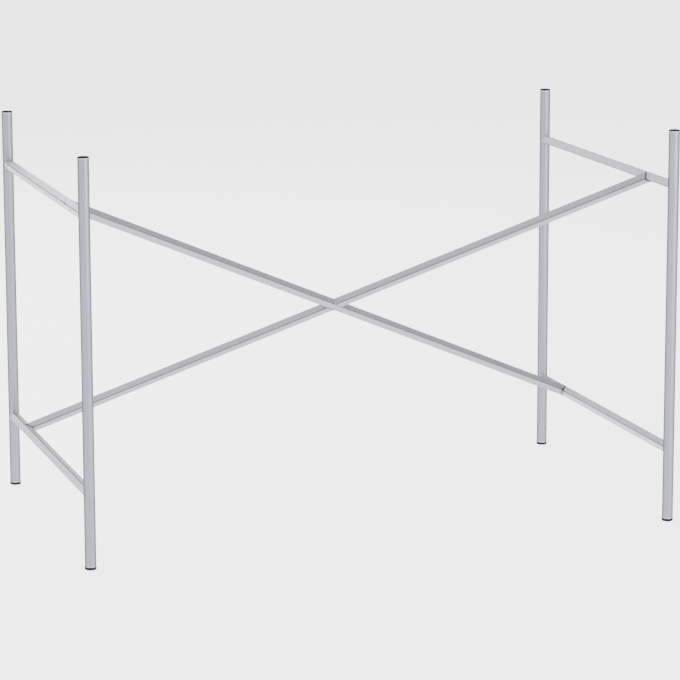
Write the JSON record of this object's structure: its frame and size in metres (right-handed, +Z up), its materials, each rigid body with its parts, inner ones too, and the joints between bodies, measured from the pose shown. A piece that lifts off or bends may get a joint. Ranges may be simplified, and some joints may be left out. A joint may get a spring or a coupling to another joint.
{
  "type": "table frame",
  "caption": "Welded steel table frame with round legs, square side rails and a leaning cross brace between the two ends, for a separate tabletop.",
  "frame": {"origin": "on the floor, midway between the four legs", "axes": "+X to the right along the table's length, +Y to the back, +Z up"},
  "size_m": [1.1008, 0.6608, 0.72],
  "materials": {
    "frame_coat": "satin silver grey powder coat",
    "black_plastic": "fine matt black",
    "plug_metal": "black coated die casting",
    "screw_steel": "zinc plated"
  },
  "bodies": {
    "root": {"leg_front_left": "frame_coat", "leg_front_right": "frame_coat", "leg_back_left": "frame_coat", "leg_back_right": "frame_coat", "rail_upper_left": "frame_coat", "rail_upper_right": "frame_coat", "rail_lower_left": "frame_coat", "rail_lower_right": "frame_coat", "brace_long_bar": "frame_coat", "brace_half_bar_lower": "frame_coat", "brace_half_bar_upper": "frame_coat", "cap_front_left": "black_plastic", "cap_front_right": "black_plastic", "cap_back_left": "black_plastic", "cap_back_right": "black_plastic", "foot_front_left": "black_plastic", "foot_front_right": "black_plastic", "foot_back_left": "black_plastic", "foot_back_right": "black_plastic", "brace_plug_upper_left": "plug_metal", "brace_plug_upper_right": "plug_metal", "brace_plug_lower_left": "plug_metal", "brace_plug_lower_right": "plug_metal", "brace_screw_upper_left": "screw_steel", "brace_screw_upper_right": "screw_steel", "brace_screw_lower_left": "screw_steel", "brace_screw_lower_right": "screw_steel"}
  },
  "joints": []
}
